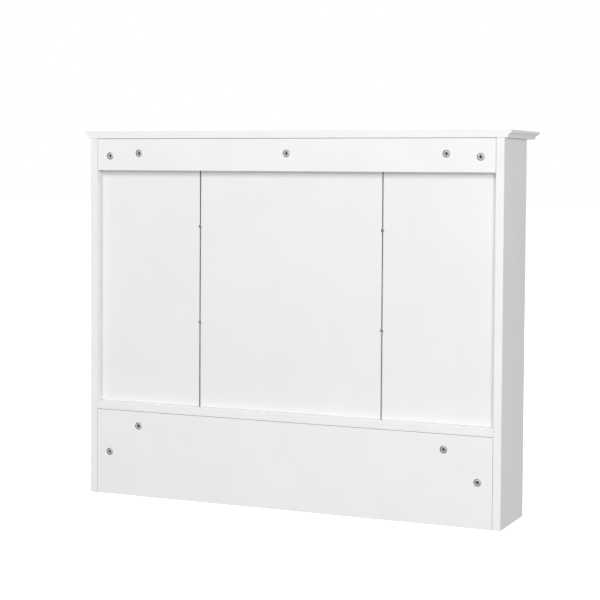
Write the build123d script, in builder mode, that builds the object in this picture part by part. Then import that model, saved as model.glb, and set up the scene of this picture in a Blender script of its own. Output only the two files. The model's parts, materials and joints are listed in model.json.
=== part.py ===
from build123d import *
from collections import defaultdict, namedtuple
import os

os.makedirs("parts", exist_ok=True)

# Three-door mirror cabinet with an open shelf under its doors. Millimetres, +Z up.
# The front looks to -Y and the back to +Y. The origin is at the middle of the footprint, on the base.

# Carcass
carcass_width = 900.0  # over the outer faces of the side panels
carcass_depth = 150.0  # side panels, front edge to rear edge
panel_height = 745.0  # side panels, base to the crown's underside
board = 16.0  # thickness of every carcass board
rail_height = 66.0
lower_board_height = 178.0
bay_line = 200.0  # middle of each divider, out from the cabinet's middle
back_thick = 3.0
back_gap = 2.0  # between two back panels, over a divider's rear edge
back_clear = 0.2
groove_depth = 4.0

# Crown top: its edge steps out, hollows out in a cove and ends in a band
crown_thick = 15.0
crown_front_extra = 30.0  # the crown's front stands out this much more than its sides
crown_step = 6.0
crown_step_height = 2.5
cove_run = 6.5
cove_rise = 7.0
cove_radius = 12.0
crown_lip = 1.0
crown_band_round = 1.5

# Doors
door_thick = 18.0
door_gap = 2.0  # door back to the carcass's front edges
door_space = 3.0  # between two doors, and over them
door_foot = 2.0  # door's lower edge over the fixed shelf's underside
side_overlay = 8.0  # how far a door laps a side panel's front edge
frame_width = 48.0
frame_bevel = 3.0
frame_round = 1.5
rebate = 8.0
mirror_thick = 4.0
backing_thick = 3.0
glass_clear = 0.75
pocket_clear = 0.2

# Knobs
knob_height = 95.0  # above the door's lower edge
knob_radius = 14.0
knob_reach = 21.0
knob_foot_radius = 8.0
knob_neck_radius = 5.0
knob_screw_radius = 2.0
knob_screw_head = 3.8
knob_screw_head_height = 2.2
knob_foot_thick = 2.0
knob_waist = 3.0  # narrowest place, above the foot
knob_head = 7.0  # from the head's underside to its top
knob_under = 3.0  # how much smaller the underside's radius is
knob_rim = 4.5  # widest place, under the top
knob_shoulder = (2.0, 2.2)  # in from the widest place, and under the top
knob_thread = 10.0
knob_screw_short = 1.0  # from the screw's end to the bottom of its hole
knob_screw_round = 1.2
knob_screw_cross = (4.6, 1.0, 1.2)

# Shelves and their pins
shelves_per_bay = 2
shelf_thick = 16.0
shelf_side_clear = 1.0
shelf_setback = 12.0
pin_radius = 2.5
pin_out = 8.0
pin_pitch = 32.0
pin_row = 37.0  # first row of holes, behind the carcass's front edge
pin_row_back = 28.0  # second row, in front of the back panel
pin_web = 1.0  # wood left between two holes that meet in a divider

# Cam fittings and dowels
cam_radius = 7.4
cam_length = 12.0
cam_recess = 0.3
cam_setback = 30.5  # cam's middle to the joint that it pulls shut
cam_bore_clear = 0.1
bolt_radius = 2.5
bolt_neck_radius = 1.6
bolt_head_radius = 3.2
bolt_head_length = 2.6
bolt_bore_radius = 4.0
bolt_thread = 11.0
bolt_head_clear = 0.4
cam_cross = (7.0, 1.4, 2.5)  # length, width and depth of the cross, here and below
dowel_radius = 4.0
dowel_in_face = 10.0
dowel_in_edge = 20.0
fit_clear = 0.05
hole_spare = 0.5  # how much deeper a blind hole is than what stands in it
rail_cam_line = 335.0  # outer cams of the rail and of the lower back board
rail_side_cam_drop = 36.3
dowel_line = 150.0
rail_dowel_drop = 18.0  # dowel in the rail's end, under the cam beside it
lower_dowel_span = 55.0  # dowels in the lower back board's ends, over and under its middle
side_cam_front = 35.0  # cams at the side panels, behind the front edge
side_cam_back = 50.0  # and in front of the rear edge
top_cam_step = 5.0  # the crown's cams stand this much further forward
top_dowel_step = 20.0  # dowels behind each cam
shelf_dowel_step = 30.0
base_dowel_front = 65.0
divider_cam_front = 75.0
divider_dowels = (30.0, 110.0)  # behind the front edge
back_screw_low = 175.0  # above the fixed shelf
back_screw_high = 180.0  # under the crown
back_screw_radius = 1.7
back_screw_head = 3.4
back_screw_head_height = 1.4
back_screw_length = 25.0
back_screw_round = 0.8
back_screw_cross = (3.6, 0.9, 0.8)

# Concealed hinges. u runs inwards from the door's hinge edge, v backwards from its front face.
hinge_inset = 90.0  # hinge's middle to the door's top or bottom edge
cup_middle = 20.5
cup_radius = 17.45
cup_wall = 1.1
cup_depth = 11.7
cup_floor = 0.65
flange_thick = 1.0
flange_radius = 18.4
ear_line = 9.5  # screws, beyond the cup's middle
ear_half_span = 22.5
ear_width = 11.0
arm_pivot = (25.0, 23.0)
cup_pivot = (9.5, 11.0)
link_bends = ((18.5, 8.3), (22.2, 12.6))
link_thick = 1.5
link_half_width = 4.2
pivot_radius = 1.5
eye_radius = 2.4
arm_half_width = 6.5
arm_wall = 1.4
arm_rise = 13.0
arm_tail = (45.0, 85.0)
arm_lift = 0.3  # under the arm's cheeks, over the plate
arm_opening = 6.4  # the web stays this far off the pivot, for the link
nose_radius = 3.6
plate_thick = 4.0
plate_half_height = 24.0
plate_half_width = 11.0
plate_screw_half_span = 16.0
saddle_rows = (48.0, 82.0)
saddle_clear = 0.2
screw_radius = 2.0
screw_head_radius = 3.8
screw_head_height = 1.4
plate_sink = 1.6  # how deep a screw's head sinks into the plate
plate_screw_depth = 12.0
plate_screw_cross = (4.2, 1.0, 0.9)
cup_screw_depth = 9.0
cup_screw_head = 0.9
cup_screw_cross = (4.2, 1.0, 0.7)
bumper_radius = 3.0
bumper_clear = 0.3
bumper_inset = 0.25  # from the door's free edge
bumper_low = 8.0
bumper_high = 12.0

# Worked out from the sizes above
crown_side = crown_step + cove_run + crown_lip
half_width = carcass_width / 2
inner_x = half_width - board
crown_depth = carcass_depth + crown_side + crown_front_extra
rear_y = crown_depth / 2
front_y = rear_y - carcass_depth
door_back_y = front_y - door_gap
door_front_y = door_back_y - door_thick
back_rear_y = rear_y - board - back_clear
back_front_y = back_rear_y - back_thick
shelf_top = lower_board_height + board
bay_height = panel_height - shelf_top
door_bottom = lower_board_height + door_foot
door_top = panel_height - door_space
door_height = door_top - door_bottom
pocket_depth = mirror_thick + backing_thick + pocket_clear
divider_overlay = (board - door_space) / 2
side_door_width = half_width - board + side_overlay - bay_line - door_space / 2
centre_door_width = 2 * bay_line - door_space
hinge_heights = (door_bottom + hinge_inset, door_top - hinge_inset)
board_middle_y = rear_y - board / 2
back_screw_heights = (shelf_top + back_screw_low, panel_height - back_screw_high)
ear_heights = [height + rise for height in hinge_heights for rise in (-ear_half_span, ear_half_span)]
pin_hole = (board - pin_web) / 2
pin_in = pin_hole - hole_spare

Door = namedtuple("Door", "name edge_x way width overlay plate_board")
doors = (
    Door("left", -inner_x - side_overlay, 1, side_door_width, side_overlay, "side_panel_left"),
    Door("centre", -bay_line + door_space / 2, 1, centre_door_width, divider_overlay, "divider_left"),
    Door("right", inner_x + side_overlay, -1, side_door_width, side_overlay, "side_panel_right"),
)

Bay = namedtuple("Bay", "name low_x high_x low_board high_board")
bays = (
    Bay("left", -inner_x, -bay_line - board / 2, "side_panel_left", "divider_left"),
    Bay("centre", -bay_line + board / 2, bay_line - board / 2, "divider_left", "divider_right"),
    Bay("right", bay_line + board / 2, inner_x, "divider_right", "side_panel_right"),
)


def save(piece, name):
    piece.part.label = name
    export_step(piece.part, f"parts/{name}.step")


def facing(point, normal, along=None):
    """A plane at a point that looks along normal."""
    return Plane(origin=point, x_dir=along, z_dir=normal)


# Each board's round holes: the planes at the holes' mouths, under their radius and depth.
holes = defaultdict(lambda: defaultdict(list))
cam_seats = []
bolt_planes = []
dowel_planes = []


def cross_recess(length, width, depth):
    """A cross-shaped recess in a screw's head, cut at the places in force."""
    Box(length, width, 2 * depth, mode=Mode.SUBTRACT)
    Box(width, length, 2 * depth, mode=Mode.SUBTRACT)


def cam_joint(host, mate, seat, face, toward):
    """A cam in the host board's face pulls a bolt that is screwed into the mate."""
    face = Vector(*face)
    toward = Vector(*toward)
    cam_seats.append(facing(seat, face, toward))
    meeting = Vector(*seat) - face * (board / 2) + toward * cam_setback
    bolt_planes.append(facing(meeting, toward))
    holes[host][cam_radius + cam_bore_clear, cam_length + cam_recess].append(facing(seat, face))
    holes[host][bolt_bore_radius, cam_setback].append(facing(meeting, toward))
    holes[mate][bolt_radius + fit_clear, bolt_thread + hole_spare].append(facing(meeting, -toward))


def dowel_joint(edge_board, face_board, meeting, toward):
    """A dowel stands in the edge of one board and in the face of the other."""
    toward = Vector(*toward)
    dowel_planes.append(facing(meeting, toward))
    holes[edge_board][dowel_radius + fit_clear, dowel_in_edge + hole_spare].append(facing(meeting, toward))
    holes[face_board][dowel_radius + fit_clear, dowel_in_face + hole_spare].append(facing(meeting, -toward))


for x in (-rail_cam_line, 0.0, rail_cam_line):
    seat = (x, rear_y, panel_height - cam_setback)
    cam_joint("hanging_rail", "crown_top", seat, (0, 1, 0), (0, 0, 1))
for x in (-rail_cam_line, rail_cam_line):
    seat = (x, rear_y, lower_board_height - cam_setback)
    cam_joint("lower_back_board", "fixed_shelf", seat, (0, 1, 0), (0, 0, 1))
for x in (-dowel_line, dowel_line):
    dowel_joint("hanging_rail", "crown_top", (x, board_middle_y, panel_height), (0, 0, 1))
    dowel_joint("lower_back_board", "fixed_shelf", (x, board_middle_y, lower_board_height), (0, 0, 1))
    meeting = (x, rear_y - board, board / 2)
    dowel_joint("bottom_panel", "lower_back_board", meeting, (0, 1, 0))

for side, way in (("left", -1), ("right", 1)):
    panel = f"side_panel_{side}"
    divider = f"divider_{side}"
    out = (way, 0, 0)
    cam_x = way * (inner_x - cam_setback)
    joint_x = way * inner_x
    panel_x = way * (half_width - board / 2)
    divider_x = way * bay_line
    rail_z = panel_height - rail_side_cam_drop
    cam_joint("hanging_rail", panel, (cam_x, rear_y, rail_z), (0, 1, 0), out)
    dowel_joint("hanging_rail", panel, (joint_x, board_middle_y, rail_z - rail_dowel_drop), out)
    lower_z = lower_board_height / 2
    cam_joint("lower_back_board", panel, (cam_x, rear_y, lower_z), (0, 1, 0), out)
    for z in (lower_z - lower_dowel_span, lower_z + lower_dowel_span):
        dowel_joint("lower_back_board", panel, (joint_x, board_middle_y, z), out)
    for y in (front_y + side_cam_front, rear_y - side_cam_back):
        cam_joint("fixed_shelf", panel, (cam_x, y, lower_board_height), (0, 0, -1), out)
        cam_joint("bottom_panel", panel, (cam_x, y, 0.0), (0, 0, -1), out)
        top_seat = (joint_x, y - top_cam_step, panel_height - cam_setback)
        cam_joint(panel, "crown_top", top_seat, (-way, 0, 0), (0, 0, 1))
        meeting = (joint_x, y + shelf_dowel_step, lower_board_height + board / 2)
        dowel_joint("fixed_shelf", panel, meeting, out)
        dowel_joint(panel, "crown_top", (panel_x, y + top_dowel_step, panel_height), (0, 0, 1))
    dowel_joint("bottom_panel", panel, (joint_x, front_y + base_dowel_front, board / 2), out)
    cam_face_x = divider_x + way * board / 2
    for z, up in ((panel_height, 1), (shelf_top, -1)):
        mate = "crown_top" if up > 0 else "fixed_shelf"
        seat = (cam_face_x, front_y + divider_cam_front, z - up * cam_setback)
        cam_joint(divider, mate, seat, (way, 0, 0), (0, 0, up))
        for back in divider_dowels:
            dowel_joint(divider, mate, (divider_x, front_y + back, z), (0, 0, up))

# Shelf heights and the holes for their pins, three at each corner of a shelf
shelf_bottoms = [
    shelf_top + bay_height * (step + 1) / (shelves_per_bay + 1) - shelf_thick / 2
    for step in range(shelves_per_bay)
]
pin_rows = (front_y + pin_row, back_front_y - pin_row_back)
pin_planes = []
for bay in bays:
    for x, way, name in ((bay.low_x, 1, bay.low_board), (bay.high_x, -1, bay.high_board)):
        for y in pin_rows:
            for bottom in shelf_bottoms:
                for step in (-1, 0, 1):
                    mouth = facing((x, y, bottom - pin_radius + step * pin_pitch), (way, 0, 0))
                    holes[name][pin_radius + fit_clear, pin_hole].append(mouth)
                    if step == 0:
                        pin_planes.append(mouth)

# Screws of the hinge plates, and of the back panels where two of them meet over a divider
plate_screw_planes = []
for door in doors:
    for z in hinge_heights:
        for rise in (-plate_screw_half_span, plate_screw_half_span):
            x = door.edge_x + door.way * door.overlay
            mouth = facing((x, front_y + pin_row, z + rise), (door.way, 0, 0))
            plate_screw_planes.append(mouth)
            holes[door.plate_board][screw_radius + fit_clear, plate_screw_depth + hole_spare].append(mouth)
back_screw_planes = []
for name, x in (("divider_left", -bay_line), ("divider_right", bay_line)):
    for z in back_screw_heights:
        mouth = facing((x, back_front_y, z), (0, 1, 0))
        back_screw_planes.append(facing((x, back_rear_y, z), (0, 1, 0)))
        holes[name][back_screw_radius + fit_clear, back_screw_length].append(mouth)


into = (Align.CENTER, Align.CENTER, Align.MAX)  # from a plane back into the piece behind it
out_of = (Align.CENTER, Align.CENTER, Align.MIN)  # from a plane out of the piece behind it


def flat_board(name, low, high):
    """A rectangular board between two corners, with its round holes."""
    size = [b - a for a, b in zip(low, high)]
    with BuildPart() as piece:
        with BuildSketch(Plane.XY.offset(low[2])):
            with Locations((low[0] + size[0] / 2, low[1] + size[1] / 2)):
                Rectangle(size[0], size[1])
        extrude(amount=size[2])
        for (radius, depth), mouths in holes[name].items():
            with Locations(*mouths):
                Cylinder(radius, depth, align=into, mode=Mode.SUBTRACT)
    return piece


# Side panels, each with a groove for the edge of a back panel
for side, way in (("left", -1), ("right", 1)):
    near = way * inner_x
    far = way * half_width
    name = f"side_panel_{side}"
    low = (min(near, far), front_y, 0.0)
    high = (max(near, far), rear_y, panel_height)
    blank = flat_board(name, low, high)
    with BuildPart() as side_panel:
        add(blank.part)
        with BuildSketch(Plane.XY.offset(shelf_top)):
            with Locations((near, (back_front_y + back_rear_y) / 2)):
                Rectangle(2 * groove_depth, back_thick + 2 * back_clear)
        extrude(amount=bay_height, mode=Mode.SUBTRACT)
    save(side_panel, name)

# Boards between the side panels
low = (-inner_x, front_y, lower_board_height)
save(flat_board("fixed_shelf", low, (inner_x, rear_y, shelf_top)), "fixed_shelf")
low = (-inner_x, front_y, 0.0)
save(flat_board("bottom_panel", low, (inner_x, rear_y - board, board)), "bottom_panel")
low = (-inner_x, rear_y - board, 0.0)
save(flat_board("lower_back_board", low, (inner_x, rear_y, lower_board_height)), "lower_back_board")
low = (-inner_x, rear_y - board, panel_height - rail_height)
save(flat_board("hanging_rail", low, (inner_x, rear_y, panel_height)), "hanging_rail")
for side, x in (("left", -bay_line), ("right", bay_line)):
    name = f"divider_{side}"
    low = (x - board / 2, front_y, shelf_top)
    save(flat_board(name, low, (x + board / 2, back_front_y, panel_height)), name)

# Crown top. Its moulded edge runs along both sides and the front, and its rear is flush.
crown_levels = (
    panel_height,
    panel_height + crown_step_height,
    panel_height + crown_step_height + cove_rise,
    panel_height + crown_thick,
)


def crown_outline(plane, start, foot):
    """The crown's section in a vertical plane, from its start out to the edge that stands over foot."""
    low, cove_low, cove_high, top = crown_levels
    step = foot + crown_step
    edge = foot + crown_side
    with BuildSketch(plane) as section:
        with BuildLine():
            under = Polyline((start, low), (step, low), (step, cove_low))
            cove = RadiusArc(under @ 1, (step + cove_run, cove_high), cove_radius)
            band = Polyline(cove @ 1, (edge, cove_high), (edge, top - crown_band_round))
            nose = RadiusArc(band @ 1, (edge - crown_band_round, top), -crown_band_round)
            Polyline(nose @ 1, (start, top), (start, low))
        make_face()
    return section


forward = Plane(origin=(0, 0, 0), x_dir=(0, -1, 0), z_dir=(-1, 0, 0))
side_section = crown_outline(Plane.XZ, 0.0, half_width)
front_section = crown_outline(forward, -rear_y, crown_front_extra - front_y)
with BuildPart() as crown_blank:
    extrude(side_section.sketch, amount=crown_depth, both=True)
    mirror(about=Plane.YZ)
    extrude(front_section.sketch, amount=carcass_width, both=True, mode=Mode.INTERSECT)
with BuildPart() as crown_top:
    add(crown_blank.part)
    for (radius, depth), mouths in holes["crown_top"].items():
        with Locations(*mouths):
            Cylinder(radius, depth, align=into, mode=Mode.SUBTRACT)
save(crown_top, "crown_top")

# Back panels. They meet over the dividers, where the screws stand in half-round notches.
panel_edges = (-inner_x - groove_depth + back_clear, -bay_line, bay_line, inner_x + groove_depth - back_clear)
for name, low_x, high_x in zip(("left", "centre", "right"), panel_edges[:-1], panel_edges[1:]):
    low_x += back_gap / 2 if name != "left" else 0.0
    high_x -= back_gap / 2 if name != "right" else 0.0
    with BuildPart() as back_panel:
        middle = ((low_x + high_x) / 2, back_rear_y, shelf_top + bay_height / 2)
        with BuildSketch(facing(middle, (0, 1, 0), (1, 0, 0))):
            Rectangle(high_x - low_x, bay_height - 2 * back_clear)
        extrude(amount=-back_thick)
        with Locations(*back_screw_planes):
            Cylinder(back_screw_radius + back_clear, back_thick, align=into, mode=Mode.SUBTRACT)
    save(back_panel, f"back_panel_{name}")

with BuildPart() as back_panel_screws:
    with Locations(*back_screw_planes):
        Cylinder(back_screw_head, back_screw_head_height, align=out_of)
        Cylinder(back_screw_radius, back_screw_length, align=into)
    fillet(back_panel_screws.faces().filter_by(Axis.Y).group_by(Axis.Y)[-1].edges(), radius=back_screw_round)
    with Locations(*[mouth.offset(back_screw_head_height) for mouth in back_screw_planes]):
        cross_recess(*back_screw_cross)
save(back_panel_screws, "back_panel_screws")

# Cam locks, with a cross in the face and a slot that takes the bolt's head
with BuildPart() as cam_locks:
    with Locations(*[seat.offset(-cam_recess) for seat in cam_seats]):
        Cylinder(cam_radius, cam_length, align=into)
        cross_recess(*cam_cross)
    slots = [facing(seat.offset(-board / 2).origin, seat.x_dir) for seat in cam_seats]
    with Locations(*[slot.offset(-bolt_head_radius) for slot in slots]):
        Cylinder(bolt_head_radius + bolt_head_clear, 2 * cam_radius, align=out_of, mode=Mode.SUBTRACT)
save(cam_locks, "cam_locks")

bolt_neck = cam_setback - bolt_head_length
with BuildPart() as cam_bolts:
    with Locations(*bolt_planes):
        Cylinder(bolt_radius, bolt_thread, align=out_of)
        Cylinder(bolt_neck_radius, bolt_neck, align=into)
    with Locations(*[meeting.offset(-bolt_neck) for meeting in bolt_planes]):
        Cylinder(bolt_head_radius, bolt_head_length, align=into)
save(cam_bolts, "cam_bolts")

with BuildPart() as wood_dowels:
    with Locations(*[meeting.offset(-dowel_in_edge) for meeting in dowel_planes]):
        Cylinder(dowel_radius, dowel_in_edge + dowel_in_face, align=out_of)
save(wood_dowels, "wood_dowels")

# Adjustable shelves and the pins that they lie on
for bay in bays:
    for level, bottom in zip(("lower", "upper"), shelf_bottoms):
        low = (bay.low_x + shelf_side_clear, front_y + shelf_setback, bottom)
        high = (bay.high_x - shelf_side_clear, back_front_y - shelf_side_clear, bottom + shelf_thick)
        name = f"shelf_{bay.name}_{level}"
        save(flat_board(name, low, high), name)

with BuildPart() as shelf_pins:
    with Locations(*[mouth.offset(-pin_in) for mouth in pin_planes]):
        Cylinder(pin_radius, pin_in + pin_out, align=out_of)
save(shelf_pins, "shelf_pins")


# Concealed hinges


def door_point(door, place):
    """A point u inwards from the hinge edge and v behind the door's front face."""
    return (door.edge_x + door.way * place[0], door_front_y + place[1])


carcass_v = door_thick + door_gap
saddle_rise = arm_rise - arm_wall

with BuildPart() as hinge_arms:
    inner_half = arm_half_width - arm_wall
    for door in doors:
        foot = door.overlay + plate_thick + arm_lift
        roof = door.overlay + arm_rise
        levels = [Plane.XY.offset(height) for height in hinge_heights]
        for inset, half, mode in ((0.0, arm_half_width, Mode.ADD), (arm_wall, inner_half, Mode.SUBTRACT)):
            tail = [(foot - inset, v) for v in arm_tail] + [(roof - inset, v) for v in reversed(arm_tail)]
            with BuildSketch(*levels):
                Polygon(*[door_point(door, place) for place in tail], align=None)
                with Locations(door_point(door, (arm_pivot[0] - inset, arm_pivot[1]))):
                    Circle(nose_radius)
                make_hull()
            extrude(amount=half, both=True, mode=mode)
        with BuildSketch(*levels):
            with Locations(door_point(door, arm_pivot)):
                Rectangle(4 * nose_radius, 2 * arm_opening)
        extrude(amount=inner_half, both=True, mode=Mode.SUBTRACT)
        with BuildSketch(*levels):
            with Locations(door_point(door, arm_pivot)):
                Circle(pivot_radius)
        extrude(amount=arm_half_width, both=True)
save(hinge_arms, "hinge_arms")

with BuildPart() as hinge_plates:
    for door in doors:
        levels = [Plane.XY.offset(height) for height in hinge_heights]
        with BuildSketch(*levels):
            with Locations(door_point(door, (door.overlay + plate_thick / 2, carcass_v + pin_row))):
                Rectangle(plate_thick, 2 * plate_half_width)
        extrude(amount=plate_half_height, both=True)
        with BuildSketch(*levels):
            with Locations(door_point(door, (door.overlay + saddle_rise / 2, sum(saddle_rows) / 2))):
                Rectangle(saddle_rise, saddle_rows[1] - saddle_rows[0])
        extrude(amount=arm_half_width - arm_wall - saddle_clear, both=True)
    with Locations(*[mouth.offset(plate_thick) for mouth in plate_screw_planes]):
        Cylinder(screw_radius + fit_clear, plate_thick, align=into, mode=Mode.SUBTRACT)
        Cylinder(screw_head_radius + fit_clear, plate_sink, align=into, mode=Mode.SUBTRACT)
save(hinge_plates, "hinge_plates")

with BuildPart() as hinge_plate_screws:
    shoulders = [mouth.offset(plate_thick - plate_sink) for mouth in plate_screw_planes]
    with Locations(*shoulders):
        Cylinder(screw_radius, plate_screw_depth + plate_thick - plate_sink, align=into)
        Cylinder(screw_head_radius, screw_head_height, align=out_of)
    with Locations(*[shoulder.offset(screw_head_height) for shoulder in shoulders]):
        cross_recess(*plate_screw_cross)
save(hinge_plate_screws, "hinge_plate_screws")

# Bumpers on the carcass, behind each door's free edge
bumper_planes = []
for door in doors:
    x = door.edge_x + door.way * (door.width - bumper_radius - bumper_inset)
    for z in (door_bottom + bumper_low, door_top - bumper_high):
        bumper_planes.append(facing((x, front_y, z), (0, -1, 0)))
with BuildPart() as door_bumpers:
    with Locations(*bumper_planes):
        Cylinder(bumper_radius, door_gap - bumper_clear, align=out_of)
save(door_bumpers, "door_bumpers")


def mitred_member(door, corners, outer_edges):
    """One member of a door frame: mitred ends, a bevel at the front and a rebate behind."""
    middle_x = door.edge_x + door.way * door.width / 2
    middle_z = (door_bottom + door_top) / 2
    front = facing((middle_x, door_front_y, middle_z), (0, 1, 0), (1, 0, 0))
    open_width = door.width - 2 * frame_width
    open_height = door_height - 2 * frame_width
    with BuildPart() as member:
        with BuildSketch(front):
            Polygon(*corners, align=None)
        extrude(amount=door_thick)
        with BuildSketch(front):
            Rectangle(open_width + 2 * frame_bevel, open_height + 2 * frame_bevel)
        extrude(amount=frame_bevel, taper=45, mode=Mode.SUBTRACT)
        with BuildSketch(front.offset(door_thick)):
            Rectangle(open_width + 2 * rebate, open_height + 2 * rebate)
        extrude(amount=-pocket_depth, mode=Mode.SUBTRACT)
        edge = outer_edges(member.edges()).group_by(Axis.Y)[0]
        fillet(edge, radius=frame_round)
    return member


for door in doors:
    half_w = door.width / 2
    half_h = door_height / 2
    in_w = half_w - frame_width
    in_h = half_h - frame_width
    prefix = f"{door.name}_door"
    middle_x = door.edge_x + door.way * half_w
    middle_z = (door_bottom + door_top) / 2

    # The sketch plane's x runs to +X and its y runs down, because it looks to +Y.
    for name, way in (("stile_hinge", -door.way), ("stile_free", door.way)):
        corners = [(way * half_w, -half_h), (way * half_w, half_h), (way * in_w, in_h), (way * in_w, -in_h)]
        last = -1 if way > 0 else 0
        stile = mitred_member(door, corners, lambda edges: edges.filter_by(Axis.Z).group_by(Axis.X)[last])
        with BuildPart() as finished:
            add(stile.part)
            if name == "stile_hinge":
                cup_x = door.edge_x + door.way * cup_middle
                ear_x = cup_x + door.way * ear_line
                with Locations(*[facing((cup_x, door_back_y, z), (0, 1, 0)) for z in hinge_heights]):
                    Cylinder(cup_radius + fit_clear, cup_depth, align=into, mode=Mode.SUBTRACT)
                hole_depth = cup_screw_depth + hole_spare
                with Locations(*[facing((ear_x, door_back_y, z), (0, 1, 0)) for z in ear_heights]):
                    Cylinder(screw_radius + fit_clear, hole_depth, align=into, mode=Mode.SUBTRACT)
            else:
                knob_x = door.edge_x + door.way * (door.width - frame_width / 2)
                with Locations(facing((knob_x, door_back_y, door_bottom + knob_height), (0, 1, 0))):
                    Cylinder(knob_screw_radius + fit_clear, door_thick, align=into, mode=Mode.SUBTRACT)
        save(finished, f"{prefix}_{name}")

    for name, way in (("rail_top", -1), ("rail_bottom", 1)):
        corners = [(-half_w, way * half_h), (half_w, way * half_h), (in_w, way * in_h), (-in_w, way * in_h)]
        last = -1 if name == "rail_top" else 0
        rail = mitred_member(door, corners, lambda edges: edges.filter_by(Axis.X).group_by(Axis.Z)[last])
        save(rail, f"{prefix}_{name}")

    # Mirror and backing lie in the frame's rebate
    pane = (2 * (in_w + rebate - glass_clear), 2 * (in_h + rebate - glass_clear))
    pocket = facing((middle_x, door_back_y - pocket_depth, middle_z), (0, 1, 0), (1, 0, 0))
    with BuildPart() as mirror_pane:
        with BuildSketch(pocket):
            Rectangle(*pane)
        extrude(amount=mirror_thick)
    save(mirror_pane, f"{prefix}_mirror")
    with BuildPart() as backing:
        with BuildSketch(pocket.offset(mirror_thick)):
            Rectangle(*pane)
        extrude(amount=backing_thick)
    save(backing, f"{prefix}_backing")

    # Knob, turned about its own axis, and the screw that holds it from behind
    knob_x = door.edge_x + door.way * (door.width - frame_width / 2)
    knob_z = door_bottom + knob_height
    knob_plane = Plane(origin=(knob_x, door_front_y, knob_z), x_dir=(1, 0, 0), z_dir=(0, 0, 1))
    with BuildPart() as knob:
        with BuildSketch(knob_plane):
            with BuildLine():
                foot = Polyline((0, 0), (knob_foot_radius, 0), (knob_foot_radius, -knob_foot_thick))
                under_head = (knob_radius - knob_under, knob_head - knob_reach)
                waist = (knob_neck_radius, -knob_foot_thick - knob_waist)
                neck = ThreePointArc(foot @ 1, waist, under_head)
                shoulder = (knob_radius - knob_shoulder[0], knob_shoulder[1] - knob_reach)
                rim = ThreePointArc(neck @ 1, (knob_radius, knob_rim - knob_reach), shoulder)
                TangentArc((0, -knob_reach), rim @ 1, tangent=(1, 0))
                Line((0, -knob_reach), (0, 0))
            make_face()
        revolve(axis=Axis((knob_x, door_front_y, knob_z), (0, 1, 0)))
        with Locations(facing((knob_x, door_front_y, knob_z), (0, 1, 0))):
            Cylinder(knob_screw_radius + fit_clear, knob_thread, align=into, mode=Mode.SUBTRACT)
    save(knob, f"{prefix}_knob")
    with BuildPart() as knob_screw:
        with Locations(facing((knob_x, door_back_y, knob_z), (0, 1, 0))):
            Cylinder(knob_screw_head, knob_screw_head_height, align=out_of)
            Cylinder(knob_screw_radius, door_thick + knob_thread - knob_screw_short, align=into)
        fillet(knob_screw.faces().sort_by(Axis.Y)[-1].edges(), radius=knob_screw_round)
        with Locations(facing((knob_x, door_back_y + knob_screw_head_height, knob_z), (0, 1, 0))):
            cross_recess(*knob_screw_cross)
    save(knob_screw, f"{prefix}_knob_screw")

    # Hinge cups, each with its flange, its two ears and the pin that the link turns on
    cup_x = door.edge_x + door.way * cup_middle
    ear_x = cup_x + door.way * ear_line
    backs = [facing((cup_x, door_back_y, height), (0, 1, 0), (1, 0, 0)) for height in hinge_heights]
    pin_reach = cup_middle - cup_pivot[0] + pivot_radius
    pin_half = (cup_radius**2 - pin_reach**2) ** 0.5 - fit_clear
    with BuildPart() as hinge_cups:
        with BuildSketch(*backs):
            Circle(flange_radius)
            with Locations((door.way * ear_line, 0)):
                SlotCenterToCenter(2 * ear_half_span, ear_width, rotation=90)
        extrude(amount=flange_thick)
        with Locations(*backs):
            Cylinder(cup_radius, cup_depth - fit_clear, align=into)
        with Locations(*[back.offset(flange_thick) for back in backs]):
            hollow = flange_thick + cup_depth - fit_clear - cup_floor
            Cylinder(cup_radius - cup_wall, hollow, align=into, mode=Mode.SUBTRACT)
        with Locations(*[facing((ear_x, door_back_y, z), (0, 1, 0)) for z in ear_heights]):
            Cylinder(screw_radius + fit_clear, flange_thick, align=out_of, mode=Mode.SUBTRACT)
        with Locations(*[(*door_point(door, cup_pivot), height) for height in hinge_heights]):
            Cylinder(pivot_radius, 2 * pin_half)
    save(hinge_cups, f"{prefix}_hinge_cups")

    with BuildPart() as cup_screws:
        tops = [facing((ear_x, door_back_y + flange_thick, z), (0, 1, 0)) for z in ear_heights]
        with Locations(*tops):
            Cylinder(screw_head_radius, cup_screw_head, align=out_of)
            Cylinder(screw_radius, cup_screw_depth + flange_thick, align=into)
        with Locations(*[top.offset(cup_screw_head) for top in tops]):
            cross_recess(*cup_screw_cross)
    save(cup_screws, f"{prefix}_cup_screws")

    # Hinge links: a bent strap with an eye at each end
    route = [door_point(door, place) for place in (cup_pivot, *link_bends, arm_pivot)]
    with BuildPart() as hinge_links:
        with BuildSketch(*[Plane.XY.offset(height) for height in hinge_heights]):
            with BuildLine():
                Polyline(*route)
            trace(line_width=link_thick)
            with Locations(route[0], route[-1]):
                Circle(eye_radius)
                Circle(pivot_radius + fit_clear, mode=Mode.SUBTRACT)
        extrude(amount=link_half_width, both=True)
    save(hinge_links, f"{door.name}_hinge_links")
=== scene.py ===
import json
import math

import bmesh
import bpy
from mathutils import Matrix, Vector


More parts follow.
